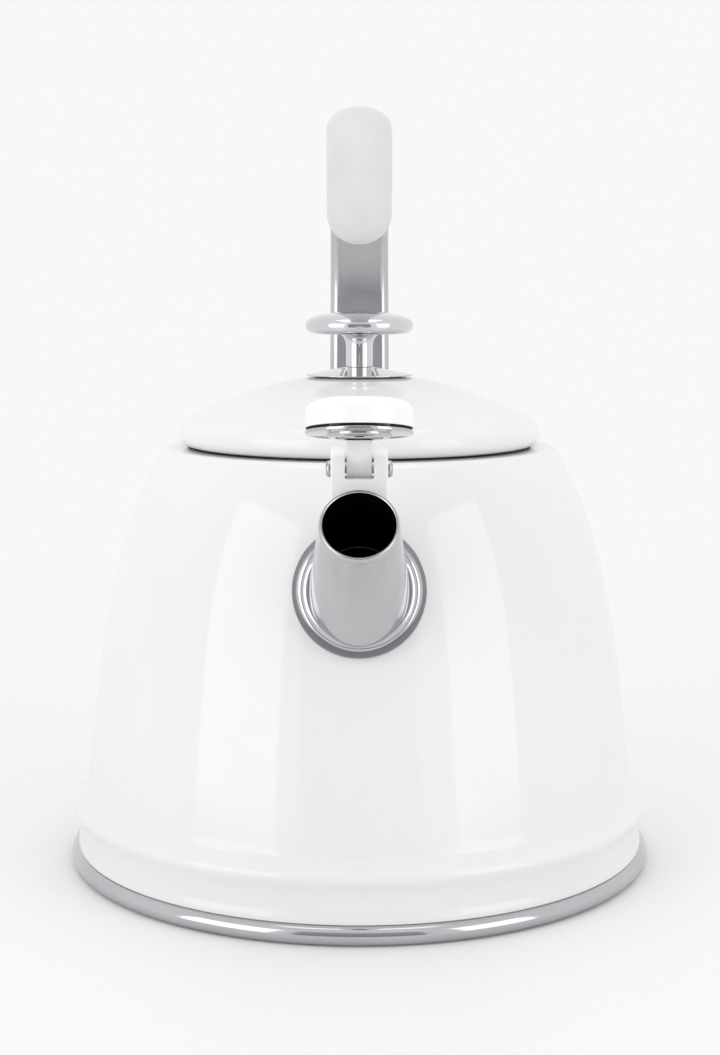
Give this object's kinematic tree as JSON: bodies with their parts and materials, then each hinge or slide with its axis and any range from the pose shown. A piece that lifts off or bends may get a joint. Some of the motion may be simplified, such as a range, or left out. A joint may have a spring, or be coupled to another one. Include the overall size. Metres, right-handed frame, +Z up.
{
  "type": "stovetop whistling kettle",
  "caption": "Enamelled steel stovetop kettle with a domed loose lid, a straight spout with a flip-up whistle, and an arched handle fixed only at the back.",
  "frame": {"origin": "on the body's axis, at the flat underside of the base", "axes": "+Z up along the body's axis, -Y towards the spout, +Y towards the handle's post, X sideways"},
  "size_m": [0.19, 0.2263, 0.2451],
  "materials": {
    "white_enamel": "gloss enamel on pressed steel",
    "polished_steel": "polished stainless steel",
    "fastener_steel": "satin stainless steel",
    "chrome": "mirror chrome plate",
    "core_aluminium": "cast, hidden in the base",
    "soft_touch": "matt soft-touch",
    "white_moulding": "gloss moulded plastic",
    "dark_silicone": "matt silicone"
  },
  "bodies": {
    "kettle": {"body_shell": "white_enamel", "base_cap": "polished_steel", "heat_disc": "core_aluminium", "base_pan": "polished_steel", "spout_tube": "polished_steel", "spout_collar": "polished_steel", "spout_boss": "fastener_steel", "hinge_bracket": "white_moulding", "bracket_screw": "fastener_steel", "hinge_pin": "fastener_steel", "handle_lug": "fastener_steel", "handle_post": "chrome", "handle_screws": "fastener_steel", "handle_grip": "soft_touch", "grip_screw": "fastener_steel"},
    "lid": {"lid_shell": "white_enamel", "lid_skirt": "polished_steel", "lid_seal": "dark_silicone", "knob_base": "chrome", "knob_stem": "chrome", "knob_disc": "chrome", "knob_washer": "fastener_steel", "knob_screw": "fastener_steel"},
    "whistle": {"whistle_cap": "white_moulding", "whistle_plate": "polished_steel", "whistle_drum": "polished_steel", "plate_rivets": "fastener_steel", "cap_button": "polished_steel"}
  },
  "joints": [
    {"name": "whistle_hinge", "type": "hinge", "parent": "kettle", "child": "whistle", "pos_m": [0, -0.09395, 0.13659], "axis": [1, 0, 0], "range_deg": [0, 64]},
    {"name": "lid_lift", "type": "slide", "parent": "kettle", "child": "lid", "axis": [0, 0, 1], "range_m": [0, 0.018]}
  ]
}
